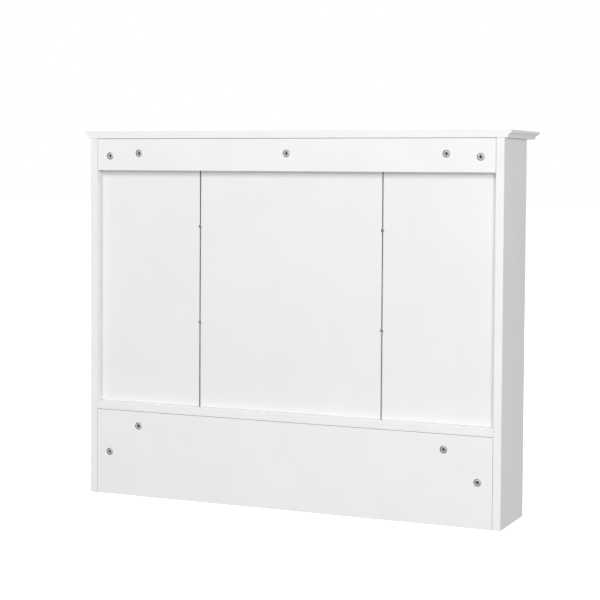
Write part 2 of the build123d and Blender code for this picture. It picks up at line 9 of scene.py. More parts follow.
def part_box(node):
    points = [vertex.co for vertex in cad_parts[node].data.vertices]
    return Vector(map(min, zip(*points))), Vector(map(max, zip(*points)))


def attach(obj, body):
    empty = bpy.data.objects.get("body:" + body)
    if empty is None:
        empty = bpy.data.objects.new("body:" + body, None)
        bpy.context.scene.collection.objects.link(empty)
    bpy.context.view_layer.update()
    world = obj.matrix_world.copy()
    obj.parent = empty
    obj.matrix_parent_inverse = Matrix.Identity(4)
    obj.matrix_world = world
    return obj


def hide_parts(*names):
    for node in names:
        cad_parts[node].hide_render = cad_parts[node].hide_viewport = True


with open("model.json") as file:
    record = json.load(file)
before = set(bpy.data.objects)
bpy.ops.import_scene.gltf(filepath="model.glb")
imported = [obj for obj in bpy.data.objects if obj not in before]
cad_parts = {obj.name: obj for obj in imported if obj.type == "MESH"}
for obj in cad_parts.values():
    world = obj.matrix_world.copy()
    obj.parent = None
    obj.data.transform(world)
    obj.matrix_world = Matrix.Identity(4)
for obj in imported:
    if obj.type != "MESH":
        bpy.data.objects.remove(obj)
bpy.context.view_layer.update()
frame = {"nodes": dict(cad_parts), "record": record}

# Bathroom wall cabinet: three mirror doors over an open shelf, seen from behind.
# Sizes are in millimetres in the dictionaries, and turned to metres where they are used.
mm = 0.001
nodes = frame["nodes"]
bodyOf = {name: body for body, names in frame["record"]["behaviour"]["bodies"].items() for name in names}
print("frame loaded:", len(nodes), "nodes")


def linear(hexCode):
    # sRGB hex to the linear values that the shader works in, with full alpha
    parts = [int(hexCode[i:i + 2], 16) / 255 for i in (1, 3, 5)]
    return [c / 12.92 if c <= 0.04045 else ((c + 0.055) / 1.055) ** 2.4 for c in parts] + [1.0]


def perMetre(sizeMm):
    # texture scale that gives features of this size
    return 1000 / sizeMm


def addNode(tree, kind, inputs=None, **settings):
    # one node; each input is a value, or the socket that feeds it
    made = tree.nodes.new(kind)
    for name, value in settings.items():
        if name == "stops":
            ramp = made.color_ramp.elements
            while len(ramp) < len(value):
                ramp.new(0.5)
            for stop, (place, colour) in zip(ramp, value):
                stop.position = place
                stop.color = colour
        else:
            setattr(made, name, value)
    for name, value in (inputs or {}).items():
        if isinstance(value, bpy.types.NodeSocket):
            tree.links.new(value, made.inputs[name])
        else:
            made.inputs[name].default_value = value
    return made


def surfaced(name, look, fixed, pattern=None):
    # A whole material from its look. A patch varies the colour and a grain varies the roughness; the relief
    # follows the wave where there is one, and else the grain. Each is a noise of a real size in millimetres,
    # a detail and a stretch, unless the material brings a pattern of its own. Fixed values go on the shader's
    # own sockets.
    material = bpy.data.materials.new(name)
    material.use_nodes = True
    tree = material.node_tree
    tree.nodes.clear()
    place = addNode(tree, "ShaderNodeTexCoord").outputs["Object"]
    layers = pattern(tree, place) if pattern else {}
    for layer in ("patch", "grain", "wave"):
        if layer in look:
            sizeMm, detail, stretch = look[layer]
            drawn = addNode(tree, "ShaderNodeMapping", {"Vector": place, "Scale": stretch})
            layers[layer] = addNode(tree, "ShaderNodeTexNoise", {
                "Vector": drawn.outputs["Vector"], "Scale": perMetre(sizeMm), "Detail": detail,
                "Roughness": 0.55}).outputs["Fac"]
    dark, pale = [linear(c) for c in look["tones"]]
    colour = addNode(tree, "ShaderNodeValToRGB", {"Fac": layers["patch"]}, stops=[(0.3, dark), (0.7, pale)])
    smooth, rough = look["rough"]
    gloss = addNode(tree, "ShaderNodeMapRange", {
        "Value": layers["grain"], "From Min": 0.3, "From Max": 0.7, "To Min": smooth, "To Max": rough})
    strength, depthMm = look["relief"]
    relief = addNode(tree, "ShaderNodeBump", {
        "Height": layers.get("wave", layers["grain"]), "Strength": strength, "Distance": depthMm * mm})
    shader = addNode(tree, "ShaderNodeBsdfPrincipled", {
        "Base Color": colour.outputs["Color"], "Roughness": gloss.outputs["Result"],
        "Normal": relief.outputs["Normal"], **fixed})
    addNode(tree, "ShaderNodeOutputMaterial", {"Surface": shader.outputs["BSDF"]})
    return material


even = (1, 1, 1)

# Melamine-faced chipboard, pressed against a pearl plate: a satin white with a very fine grain in its
# highlights. The pearls are about 0.8 mm apart on the real board, and are drawn coarser so that they show.
melamineLook = {
    "tones": ("#F3F3F2", "#F6F6F6"), "patch": (90.0, 3.0, even), "grain": (2.2, 1.5, even),
    "rough": (0.4, 0.5), "relief": (0.35, 0.05),
}
melamine = surfaced("melamineFacedBoardPressed", melamineLook, {"IOR": 1.5})

# ABS edge band, extruded and glued on: smoother than the face, with faint draw lines along it
edgingLook = {
    "tones": ("#F4F4F3", "#F7F7F7"), "patch": (40.0, 2.0, even), "grain": (3.0, 1.0, (0.08, 1, 0.08)),
    "rough": (0.3, 0.38), "relief": (0.2, 0.03),
}
edging = surfaced("absEdgeBandExtruded", edgingLook, {"IOR": 1.53})

# Chipboard where a drill has cut it: chips of mixed browns, and matt. The tones are painted darker and greyer
# than the bare chips, as painted shade for the shadow in the gap round each cam
chipsShadeLook = {"tones": ("#6B6052", "#A39683"), "chip": 1.6, "rough": (0.8, 0.9), "relief": (0.5, 0.3)}


def chips(tree, place):
    cells = addNode(tree, "ShaderNodeTexVoronoi", {"Vector": place, "Scale": perMetre(chipsShadeLook["chip"])})
    tone = addNode(tree, "ShaderNodeSeparateColor", {"Color": cells.outputs["Color"]}).outputs["Red"]
    return {"patch": tone, "grain": tone}


chipboard = surfaced("chipboardDrilled", chipsShadeLook, {"IOR": 1.45}, chips)

# MDF, milled and sprayed with satin lacquer: even, with the soft waves that sprayed lacquer dries in
lacquerLook = {
    "tones": ("#F4F4F3", "#F7F7F7"), "patch": (120.0, 2.0, even), "grain": (0.9, 1.0, even),
    "wave": (5.0, 1.0, even), "rough": (0.29, 0.35), "relief": (0.3, 0.04),
}
lacquer = surfaced("lacquerSprayedOnMdf", lacquerLook, {"IOR": 1.5})

# Hardboard with a roller-coated white face: matt to satin, with the roller's fine stipple
panelLook = {
    "tones": ("#F0F0EF", "#F3F3F3"), "patch": (150.0, 3.0, even), "grain": (3.5, 2.0, (1, 1, 0.6)),
    "rough": (0.42, 0.55), "relief": (0.3, 0.05),
}
panelFace = surfaced("paintRolledOnHardboard", panelLook, {"IOR": 1.48})

# Hardboard's sawn edge: dark pressed fibre in thin layers, painted darker still, nearly black, as painted
# shade for the narrow gaps it sits in
sawnEdgeShadeLook = {
    "tones": ("#37322D", "#57504A"),
    "patch": (1.2, 2.0, (0.15, 1, 0.15)), "grain": (1.2, 2.0, (0.15, 1, 0.15)),
    "rough": (0.75, 0.85), "relief": (0.4, 0.15),
}
hardboardEdgeAndShade = surfaced("hardboardSawn", sawnEdgeShadeLook, {"IOR": 1.45})

# Zinc, die-cast and tumbled: grey, with a soft cast grain and cloudy patches
zincLook = {
    "tones": ("#D2D4D6", "#E4E6E7"), "patch": (3.0, 3.0, even), "grain": (0.35, 2.0, even),
    "rough": (0.42, 0.56), "relief": (0.5, 0.04),
}
zinc = surfaced("zincDieCast", zincLook, {"Metallic": 1.0})

# Steel, cold-formed and zinc-plated: cool and bright, with fine lines from the forming
platedLook = {
    "tones": ("#A9AFB3", "#CDD2D4"), "patch": (4.0, 3.0, even), "grain": (0.5, 2.0, (1, 1, 0.2)),
    "rough": (0.2, 0.32), "relief": (0.5, 0.02),
}
platedSteel = surfaced("steelZincPlated", platedLook, {"Metallic": 1.0})

# Steel, pressed from strip and nickel-plated: warm and bright, with rolling lines along the strip
nickelLook = {
    "tones": ("#BDB8AF", "#D6D1C8"), "patch": (14.0, 3.0, even), "grain": (0.8, 2.0, (0.06, 1, 1)),
    "rough": (0.14, 0.26), "relief": (0.5, 0.015),
}
nickel = surfaced("steelNickelPlated", nickelLook, {"Metallic": 1.0})

# Zinc knob, turned on its own axis and satin nickel-plated: soft highlights that stretch across fine rings
knobLook = {
    "tones": ("#B5AFA5", "#CBC5BB"), "patch": (9.0, 2.0, even), "ring": 0.35, "rough": (0.24, 0.36),
    "relief": (0.5, 0.012),
}


def rings(tree, place):
    # the noise runs outward from the knob's own axis, so it closes into rings
    flat = addNode(tree, "ShaderNodeVectorMath", {0: place, 1: (1, 1, 0)}, operation="MULTIPLY")
    radius = addNode(tree, "ShaderNodeVectorMath", {0: flat.outputs["Vector"]}, operation="LENGTH")
    noise = addNode(tree, "ShaderNodeTexNoise", {
        "W": radius.outputs["Value"], "Scale": perMetre(knobLook["ring"]), "Detail": 2.0,
    }, noise_dimensions="1D")
    return {"grain": noise.outputs["Fac"]}


knobMetal = surfaced("nickelSatinTurned", knobLook, {"Metallic": 1.0, "Anisotropic": 0.5}, rings)

# Float glass, silvered behind: the silver's reflection under a clear polished coat, faintly wavy
mirrorLook = {
    "tones": ("#E7ECEA", "#EAEEEC"), "patch": (200.0, 1.0, even), "grain": (60.0, 1.0, even),
    "wave": (240.0, 0.0, even), "rough": (0.005, 0.01), "relief": (0.05, 0.02),
}
mirrorGlass = surfaced("floatGlassSilvered", mirrorLook, {
    "Metallic": 1.0, "Coat Weight": 1.0, "Coat Roughness": 0.0, "Coat IOR": 1.52})

# Float glass, ground edge and painted back: grey-green and slightly frosted
glassEdgeLook = {
    "tones": ("#7E9C92", "#9AB5AB"), "patch": (0.6, 2.0, even), "grain": (0.6, 2.0, even),
    "rough": (0.25, 0.4), "relief": (0.1, 0.02),
}
glassEdge = surfaced("floatGlassGroundEdge", glassEdgeLook, {"IOR": 1.52})

# Beech dowel, planed and fluted: warm tan, with short flecks along the grain
beechLook = {
    "tones": ("#B98D5C", "#D3AC79"), "patch": (1.4, 3.0, (1, 1, 0.12)), "grain": (0.7, 1.0, (1, 1, 0.3)),
    "rough": (0.55, 0.7), "relief": (0.4, 0.08),
}
beech = surfaced("beechFluted", beechLook, {"IOR": 1.46})

# Polyurethane bumper, moulded: clear and slightly cloudy
bumperLook = {
    "tones": ("#E9EAE6", "#F5F5F2"), "patch": (2.5, 2.0, even), "grain": (2.5, 2.0, even),
    "rough": (0.22, 0.34), "relief": (0.1, 0.02),
}
bumperClear = surfaced("polyurethaneMoulded", bumperLook, {"IOR": 1.5, "Transmission Weight": 0.7})
print("materials made:", len(bpy.data.materials))


meshCare = {
    "weld": 2e-6,  # corners nearer than this are one corner, in metres
    "onFace": 1e-5,  # a corner this near to a box's face lies on it, in metres
    "flatDegrees": 0.5,  # triangles that bend less than this are one flat face
    "sharpDegrees": 28,  # an edge that bends more than this is broken
}


def camel(nodeName):
    first, *rest = nodeName.split("_")
    return first + "".join(word.capitalize() for word in rest)


def cleanCopy(nodeName):
    # the node's mesh with its triangles joined into flat faces
    bm = bmesh.new()
    bm.from_mesh(nodes[nodeName].data)
    bmesh.ops.remove_doubles(bm, verts=bm.verts, dist=meshCare["weld"])
    bmesh.ops.dissolve_limit(bm, angle_limit=math.radians(meshCare["flatDegrees"]),
                             verts=bm.verts, edges=bm.edges)
    for layer in list(bm.loops.layers.uv):
        bm.loops.layers.uv.remove(layer)
    return bm


def breakEdges(bm, widthMm, segments, longerThanMm):
    # rounds the sharp edges that are at least this long
    limit = math.radians(meshCare["sharpDegrees"])
    chosen = [e for e in bm.edges if e.is_manifold and e.calc_length() >= longerThanMm * mm
              and e.calc_face_angle(0) > limit]
    if chosen:
        bmesh.ops.bevel(bm, geom=chosen, offset=widthMm * mm, offset_type="OFFSET", segments=segments,
                        profile=0.5, affect="EDGES", clamp_overlap=True)


def finishMesh(bm, nodeName, materials, slot, smoothDegrees=35, pick=None):
    # the finished piece, smooth but for its sharp edges, riding on the node's body in the node's stead
    name = camel(nodeName)
    bmesh.ops.recalc_face_normals(bm, faces=bm.faces)
    mesh = bpy.data.meshes.new(name)
    if pick:
        for face in bm.faces:
            face.material_index = pick(face)
    bm.to_mesh(mesh)
    bm.free()
    if "custom_normal" in mesh.attributes:
        mesh.attributes.remove(mesh.attributes["custom_normal"])
    for material in materials:
        mesh.materials.append(material)
    mesh.polygons.foreach_set("use_smooth", [True] * len(mesh.polygons))
    mesh.set_sharp_from_angle(angle=math.radians(smoothDegrees))
    piece = bpy.data.objects.new(name, mesh)
    bpy.context.scene.collection.objects.link(piece)
    weighted = piece.modifiers.new("weightedNormals", "WEIGHTED_NORMAL")
    weighted.keep_sharp = True
    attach(piece, bodyOf[nodeName])
    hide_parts(nodeName)
    return piece


boardEdges = {
    "round": 0.35, "panelRound": 0.2, "segments": 3,
    "shortest": 5.0,  # a shorter edge stays as it is
    "reach": 1.2,  # how far in from the rim a face still counts as the board's edge
}
# How far a board's ends stand off their neighbours at a joint: low and high ends on X, Y and Z
jointGaps = {
    "hanging_rail": ((0.8, 0.8), (0, 0), (0, 0.9)),
    "lower_back_board": ((0.8, 0.8), (0, 0), (0, 0.8)),
    "fixed_shelf": ((0.3, 0.3), (0, 0), (0, 0)),
    "bottom_panel": ((0.3, 0.3), (0, 0.3), (0, 0)),
    "side_panel_left": ((0, 0), (0, 0), (0, 0.3)),
    "side_panel_right": ((0, 0), (0, 0), (0, 0.3)),
    "divider_left": ((0, 0), (0, 0), (0.15, 0.15)),
    "divider_right": ((0, 0), (0, 0), (0.15, 0.15)),
    "back_panel_left": ((0, 0.8), (0, 0), (0, 0)),
    "back_panel_centre": ((0, 0.8), (0, 0), (0, 0)),
    "back_panel_right": ((0, 0.8), (0, 0), (0, 0)),
}


def softenedBoard(nodeName, faceMaterial, edgeMaterial, cutMaterial, slot, width):
    # faces, outer edges and holes of a board each take their own material
    low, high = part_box(nodeName)
    size = high - low
    thin = min(range(3), key=lambda i: size[i])
    reach = boardEdges["reach"] * mm
    bm = cleanCopy(nodeName)
    for axis, (fromLow, fromHigh) in enumerate(jointGaps.get(nodeName, ())):
        for vert in bm.verts:
            if vert.co[axis] < low[axis] + meshCare["onFace"]:
                vert.co[axis] += fromLow * mm
            elif vert.co[axis] > high[axis] - meshCare["onFace"]:
                vert.co[axis] -= fromHigh * mm
    breakEdges(bm, width, boardEdges["segments"], boardEdges["shortest"])

    def pick(face):
        middle = face.calc_center_median()
        near = [min(middle[i] - low[i], high[i] - middle[i]) for i in range(3)]
        if abs(face.normal[thin]) > 0.9 and near[thin] < reach:
            return 0
        rim = min(near[i] for i in range(3) if i != thin)
        return 1 if rim < reach else 2

    return finishMesh(bm, nodeName, [faceMaterial, edgeMaterial, cutMaterial], slot, pick=pick)


carcassBoards = ["side_panel_left", "side_panel_right", "fixed_shelf", "bottom_panel", "divider_left",
                 "divider_right", "hanging_rail", "lower_back_board"]
carcassBoards += [name for name in sorted(nodes) if name.startswith("shelf_") and name != "shelf_pins"]
for nodeName in carcassBoards:
    softenedBoard(nodeName, melamine, edging, chipboard, "white_melamine", boardEdges["round"])
for nodeName in ("back_panel_left", "back_panel_centre", "back_panel_right"):
    softenedBoard(nodeName, panelFace, hardboardEdgeAndShade, hardboardEdgeAndShade, "hardboard", boardEdges["panelRound"])
print("boards made")


def softenedPiece(nodeName, materials, slot, width, segments, shortest, pick=None):
    bm = cleanCopy(nodeName)
    breakEdges(bm, width, segments, shortest)
    return finishMesh(bm, nodeName, materials, slot, pick=pick)


# How each piece's edges are broken: width, steps and the shortest edge that is broken
crownEdges = (0.5, 3, 5.0)
frameEdges = (0.4, 3, 5.0)
glassEdges = (0.5, 2, 5.0)
backingEdges = (0.2, 2, 5.0)
doorFittings = {
    "door_hinge_cups": (nickel, (0.25, 2, 0.4)),
    "hinge_links": (nickel, (0.2, 2, 0.4)),
    "door_cup_screws": (nickel, (0.12, 2, 0.3)),
    "door_knob_screw": (platedSteel, (0.12, 2, 0.3)),
}
carcassFittings = {
    "hinge_arms": (nickel, "nickel_steel", (0.25, 2, 0.4)),
    "hinge_plates": (nickel, "nickel_steel", (0.25, 2, 0.4)),
    "hinge_plate_screws": (nickel, "nickel_steel", (0.12, 2, 0.3)),
    "back_panel_screws": (platedSteel, "nickel_steel", (0.12, 2, 0.3)),
    "door_bumpers": (bumperClear, "clear_bumper", (0.2, 2, 0.2)),
    "shelf_pins": (nickel, "nickel_steel", (0.5, 3, 0.2)),
}


def glassFace(face):
    # the mirror's front is silvered glass, and the rest is its ground edge
    return 0 if face.normal.y < -0.9 else 1


def backingFace(face):
    return 0 if abs(face.normal.y) > 0.5 else 1


softenedPiece("crown_top", [lacquer], "white_lacquer", *crownEdges)
doorNames = ("left", "centre", "right")
for door in doorNames:
    for part in ("stile_hinge", "stile_free", "rail_top", "rail_bottom"):
        softenedPiece(f"{door}_door_{part}", [lacquer], "white_lacquer", *frameEdges)
    softenedPiece(f"{door}_door_mirror", [mirrorGlass, glassEdge], "mirror_glass", *glassEdges, glassFace)
    softenedPiece(f"{door}_door_backing", [panelFace, hardboardEdgeAndShade], "hardboard", *backingEdges, backingFace)
    for part, (material, edges) in doorFittings.items():
        softenedPiece(f"{door}_{part}", [material], "nickel_steel", *edges)
for nodeName, (material, slot, edges) in carcassFittings.items():
    softenedPiece(nodeName, [material], slot, *edges)
print("doors and hinges made")


def turned(profile, sides, relief=None):
    # a solid turned about its own Z axis; profile points are a radius and a height in millimetres,
    # and relief(height, angle) is added to the radius
    bm = bmesh.new()
    rings = []
    for radius, height in profile:
        ring = []
        for i in range(1 if radius == 0 else sides):
            angle = 2 * math.pi * i / sides
            reach = (radius + (relief(height, angle) if relief and radius else 0.0)) * mm
            ring.append(bm.verts.new((reach * math.cos(angle), reach * math.sin(angle), height * mm)))
        rings.append(ring if len(ring) > 1 else ring * sides)
    for low, high in zip(rings, rings[1:]):
        for i in range(sides):
            j = (i + 1) % sides
            corners = list(dict.fromkeys([low[i], low[j], high[j], high[i]]))
            if len(corners) > 2:
                bm.faces.new(corners)
    bmesh.ops.recalc_face_normals(bm, faces=bm.faces)
    return bm


def arcThrough(a, b, c, count):
    # points on the circle through three points, from a to c
    ax, ay = a
    bx, by = b
    cx, cy = c
    d = 2 * (ax * (by - cy) + bx * (cy - ay) + cx * (ay - by))
    ux = ((ax**2 + ay**2) * (by - cy) + (bx**2 + by**2) * (cy - ay) + (cx**2 + cy**2) * (ay - by)) / d
    uy = ((ax**2 + ay**2) * (cx - bx) + (bx**2 + by**2) * (ax - cx) + (cx**2 + cy**2) * (bx - ax)) / d
    radius = math.hypot(ax - ux, ay - uy)
    start, via, end = (math.atan2(y - uy, x - ux) for x, y in (a, b, c))
    sweep = (end - start) % (2 * math.pi)
    if (via - start) % (2 * math.pi) > sweep:
        sweep -= 2 * math.pi
    angles = [start + sweep * i / count for i in range(count + 1)]
    return [(ux + radius * math.cos(angle), uy + radius * math.sin(angle)) for angle in angles]


def solidsOf(nodeName):
    # the corners of each separate solid in a CAD node
    bm = cleanCopy(nodeName)
    left = set(bm.verts)
    found = []
    while left:
        group, edge = set(), [left.pop()]
        while edge:
            vert = edge.pop()
            group.add(vert)
            for link in vert.link_edges:
                other = link.other_vert(vert)
                if other in left:
                    left.remove(other)
                    edge.append(other)
        found.append([v.co.copy() for v in group])
    bm.free()
    return found


def extent(points):
    low = Vector([min(p[i] for p in points) for i in range(3)])
    high = Vector([max(p[i] for p in points) for i in range(3)])
    return low, high


def axisVector(index, sign=1):
    return Vector([sign if i == index else 0 for i in range(3)])


def placement(origin, along, toward=None):
    # a frame whose Z runs along, and whose X runs toward
    if toward is None:
        toward = Vector((1, 0, 0)) if abs(along.x) < 0.5 else Vector((0, 0, 1))
    side = along.cross(toward)
    turn = Matrix((toward, side, along)).transposed().to_4x4()
    return Matrix.Translation(origin) @ turn


def scattered(nodeName, unit, places, material, slot, smoothDegrees=35):
    # one piece made of copies of a unit mesh, one at each place
    bm = bmesh.new()
    for place in places:
        copy = unit.copy()
        copy.transform(place)
        bm.from_mesh(copy)
        bpy.data.meshes.remove(copy)
    bpy.data.meshes.remove(unit)
    return finishMesh(bm, nodeName, [material], slot, smoothDegrees)


def meshFrom(bm):
    mesh = bpy.data.meshes.new("unit")
    bm.to_mesh(mesh)
    bm.free()
    return mesh


def cutAway(body, cutters):
    # takes the cutters' shapes out of a mesh
    piece = bpy.data.objects.new("body", body)
    bpy.context.scene.collection.objects.link(piece)
    tools = []
    for cutter in cutters:
        tool = bpy.data.objects.new("cutter", meshFrom(cutter))
        bpy.context.scene.collection.objects.link(tool)
        boolean = piece.modifiers.new("cut", "BOOLEAN")
        boolean.operation = "DIFFERENCE"
        boolean.solver = "EXACT"
        boolean.object = tool
        tools.append(tool)
    bpy.context.view_layer.update()
    result = bpy.data.meshes.new_from_object(piece.evaluated_get(bpy.context.evaluated_depsgraph_get()))
    for tool in tools + [piece]:
        mesh = tool.data
        bpy.data.objects.remove(tool)
        bpy.data.meshes.remove(mesh)
    return result


def block(length, width, depth, turnDegrees):
    # a cutter sunk into a face at z = 0, narrower at its bottom
    bm = bmesh.new()
    bmesh.ops.create_cube(bm, size=1.0)
    for vert in bm.verts:
        share = camLook["cutNarrow"] if vert.co.z < 0 else 1.0
        vert.co.x *= length * mm * share
        vert.co.y *= width * mm * share
        vert.co.z = (0.2 if vert.co.z > 0 else -depth) * mm  # stands a little proud, so that it cuts cleanly
    turn = Matrix.Rotation(math.radians(turnDegrees), 3, "Z")
    bmesh.ops.rotate(bm, verts=bm.verts, cent=(0, 0, 0), matrix=turn)
    return bm


def rod(sides, radius, length, middle, turn):
    # a cutter of even section, turned and then moved to its middle
    bm = bmesh.new()
    bmesh.ops.create_cone(bm, cap_ends=True, segments=sides, radius1=radius * mm, radius2=radius * mm,
                          depth=length * mm, matrix=Matrix.Translation(Vector(middle) * mm) @ turn)
    return bm


camLook = {
    "radius": 7.1, "length": 12.0, "sides": 72, "chamfer": 0.4,
    "rimIn": 1.15, "rimDown": 1.9,  # the cast rim falls away to the bore in a curve
    "rimBulge": (0.45, 0.5), "rimSteps": 6,
    "dish": (5.6, 3.9, 0.25),  # the face is dished between these radii, this deep
    "dishSlope": (0.3, 0.2), "hubDrop": 0.05,
    "socket": (2.9, 6.0),  # radius and depth of the driver's socket
    "mouth": (0.35, 0.5), "taper": 0.9, "point": 0.6,
    "cross": (7.2, 1.6, 3.0), "ticks": (4.6, 0.6, 0.6),  # length, width and depth of each cut
    "cutNarrow": 0.8,  # a cut's width at its bottom, as a share of its top
    "arrow": (1.5, 5.1, 0.4),  # width, distance out and depth
    "bore": (3.6, 7.7), "boreFrom": -3.0, "borePast": 1.0, "boreSides": 40,  # for the bolt's head
    "seekBelow": 3.5,  # corners deeper than this tell which way the bore opens
}


def makeCam():
    look = camLook
    radius, length, down = look["radius"], look["length"], look["rimDown"]
    bulgeIn, bulgeDown = look["rimBulge"]
    outer, inner, deep = look["dish"]
    outerSlope, innerSlope = look["dishSlope"]
    socket, socketDepth = look["socket"]
    mouthWide, mouthDown = look["mouth"]
    chamfer, hub = look["chamfer"], look["hubDrop"]
    profile = [(0, -length), (radius - chamfer, -length), (radius, -length + chamfer), (radius, -down)]
    profile += arcThrough((radius, -down), (radius - bulgeIn, -bulgeDown), (radius - look["rimIn"], 0),
                          look["rimSteps"])[1:]
    profile += [(outer, 0), (outer - outerSlope, -deep), (inner + innerSlope, -deep), (inner, -hub)]
    profile += [(socket + mouthWide, -hub), (socket, -mouthDown)]
    profile += [(socket * look["taper"], -socketDepth), (0, -socketDepth - look["point"])]
    cutters = []
    for turnDegrees in (0.0, 90.0):
        cutters.append(block(*look["cross"], turnDegrees))
        cutters.append(block(*look["ticks"], turnDegrees + 45.0))
    wide, out, depth = look["arrow"]
    boreRadius, boreDepth = look["bore"]
    boreLength = radius + look["borePast"] - look["boreFrom"]
    boreMiddle = look["boreFrom"] + boreLength / 2
    cutters.append(rod(3, wide / 2, 2 * depth, (out, 0, -deep), Matrix.Rotation(math.radians(-90), 4, "Z")))
    cutters.append(rod(look["boreSides"], boreRadius, boreLength, (boreMiddle, 0, -boreDepth),
                       Matrix.Rotation(math.radians(90), 4, "Y")))
    return cutAway(meshFrom(turned(profile, look["sides"])), cutters)


camPlaces = []
for points in solidsOf("cam_locks"):
    low, high = extent(points)
    size = high - low
    axis = min(range(3), key=lambda i: size[i])
    middle = (low + high) / 2
    atHigh = sum(abs(p[axis] - high[axis]) < meshCare["onFace"] for p in points)
    atLow = sum(abs(p[axis] - low[axis]) < meshCare["onFace"] for p in points)
    sign = 1 if atHigh > atLow else -1
    faceAt = high[axis] if sign > 0 else low[axis]
    inside = [p - middle for p in points
              if camLook["seekBelow"] * mm < abs(p[axis] - faceAt) < (camLook["length"] - 0.2) * mm]
    lean = sum(inside, Vector())
    lean[axis] = 0
    across = max(range(3), key=lambda i: abs(lean[i]))
    origin = middle.copy()
    origin[axis] = faceAt
    toward = axisVector(across, 1 if lean[across] > 0 else -1)
    camPlaces.append(placement(origin, axisVector(axis, sign), toward))
scattered("cam_locks", makeCam(), camPlaces, zinc, "zinc", 30)

boltLook = {
    "thread": 2.5, "pitch": 2.4, "ridge": 0.55, "crest": 2.2,  # a larger crest makes each ridge sharper
    "threadLength": 11.0, "lead": 0.4, "runOut": 0.3, "steps": 46, "sides": 32,
    "tip": (0.8, 0.05), "tipShare": 0.55, "tipLength": 2.0,  # the thread grows from a slim tip
    "neck": 1.6, "collar": 0.15,
    "head": 3.2, "headLength": 2.6, "ballAt": 0.45, "ballTop": 0.8, "ballSteps": 8,
    "seekOut": 3.0,  # corners this far from the axis belong to the head
}


def makeBolt(length):
    # screwed end below, then a collar, a slim neck and a ball head; the height starts at the head's top
    look = boltLook
    neck, headLength = look["neck"], look["headLength"]
    bottom = -length
    start = bottom + look["lead"]
    shoulder = bottom + look["threadLength"]
    tipRadius, tipHeight = look["tip"]
    profile = [(0, bottom), (tipRadius, bottom + tipHeight)]
    for i in range(look["steps"] + 1):
        at = start + (look["threadLength"] - look["lead"]) * i / look["steps"]
        grown = look["tipShare"] + (1 - look["tipShare"]) * (at - bottom) / look["tipLength"]
        profile.append((look["thread"] * min(1.0, grown), at))
    profile += [(neck, shoulder + look["collar"]), (neck, -headLength)]
    profile += arcThrough((neck, -headLength), (look["head"], -headLength * look["ballAt"]),
                          (neck * look["ballTop"], 0), look["ballSteps"])[1:] + [(0, 0)]

    def thread(height, angle):
        if not start <= height < shoulder - look["runOut"]:
            return 0.0
        phase = (height / look["pitch"] - angle / (2 * math.pi)) % 1.0
        return -look["ridge"] * min(1.0, look["crest"] * abs(phase - 0.5))

    return meshFrom(turned(profile, look["sides"], thread))


boltPlaces = []
for points in solidsOf("cam_bolts"):
    low, high = extent(points)
    size = high - low
    axis = max(range(3), key=lambda i: size[i])
    middle = (low + high) / 2
    atHigh = [p - middle for p in points if abs(p[axis] - high[axis]) < 1e-4]
    headHigh = any((p - axisVector(axis) * p[axis]).length > boltLook["seekOut"] * mm for p in atHigh)
    origin = middle.copy()
    origin[axis] = high[axis] if headHigh else low[axis]
    boltPlaces.append(placement(origin, axisVector(axis, 1 if headHigh else -1)))
    boltLength = size[axis] / mm
scattered("cam_bolts", makeBolt(boltLength), boltPlaces, platedSteel, "zinc", 40)

dowelLook = {"radius": 4.0, "flutes": 18, "fluteDepth": 0.28, "chamfer": 1.0, "chamferIn": 0.6, "sides": 108}
dowelPlaces = []
for points in solidsOf("wood_dowels"):
    low, high = extent(points)
    size = high - low
    axis = max(range(3), key=lambda i: size[i])
    dowelLength = size[axis] / mm
    dowelPlaces.append(placement((low + high) / 2, axisVector(axis)))


def flute(height, angle):
    return -dowelLook["fluteDepth"] * (0.5 + 0.5 * math.cos(dowelLook["flutes"] * angle)) ** 2


endAt = dowelLength / 2
slim = dowelLook["radius"] - dowelLook["chamferIn"]
dowelProfile = [(0, -endAt), (slim, -endAt), (dowelLook["radius"], -endAt + dowelLook["chamfer"]),
                (dowelLook["radius"], endAt - dowelLook["chamfer"]), (slim, endAt), (0, endAt)]
dowel = meshFrom(turned(dowelProfile, dowelLook["sides"], flute))
scattered("wood_dowels", dowel, dowelPlaces, beech, "beech")

knobShape = {  # radius and height of each point
    "foot": (8.0, 2.0), "footRound": (0.2, 0.1, 0.35), "waist": (5.0, 5.0),
    "under": (11.0, 14.0), "widest": (14.0, 16.5), "shoulder": (12.0, 18.8), "top": 21.0,
    "grooveAt": 0.78, "grooveDepth": 0.3, "grooveHalf": 0.45,
    "neckSteps": 20, "rimSteps": 18, "domeSteps": 40, "sides": 128,
}


def makeKnob():
    # foot, hollow neck, rounded rim and a low dome with one fine groove
    look = knobShape
    footRadius, footThick = look["foot"]
    foot, near, far = look["footRound"]
    profile = [(0, 0), (footRadius - foot, 0), (footRadius, foot), (footRadius, footThick - far),
               (footRadius - near, footThick - near), (footRadius - far, footThick)]
    profile += arcThrough((footRadius - far, footThick), look["waist"], look["under"], look["neckSteps"])[1:]
    profile += arcThrough(look["under"], look["widest"], look["shoulder"], look["rimSteps"])[1:]
    shoulderRadius, shoulderHeight = look["shoulder"]
    rise = look["top"] - shoulderHeight
    domeRadius = (shoulderRadius**2 + rise**2) / (2 * rise)
    for i in range(1, look["domeSteps"] + 1):
        radius = shoulderRadius * (1 - i / look["domeSteps"])
        height = look["top"] - domeRadius + math.sqrt(domeRadius**2 - radius**2)
        away = abs(radius / shoulderRadius - look["grooveAt"]) * shoulderRadius
        height -= look["grooveDepth"] * max(0.0, 1 - (away / look["grooveHalf"]) ** 2)
        profile.append((radius if i < look["domeSteps"] else 0, height))
    return meshFrom(turned(profile, look["sides"]))


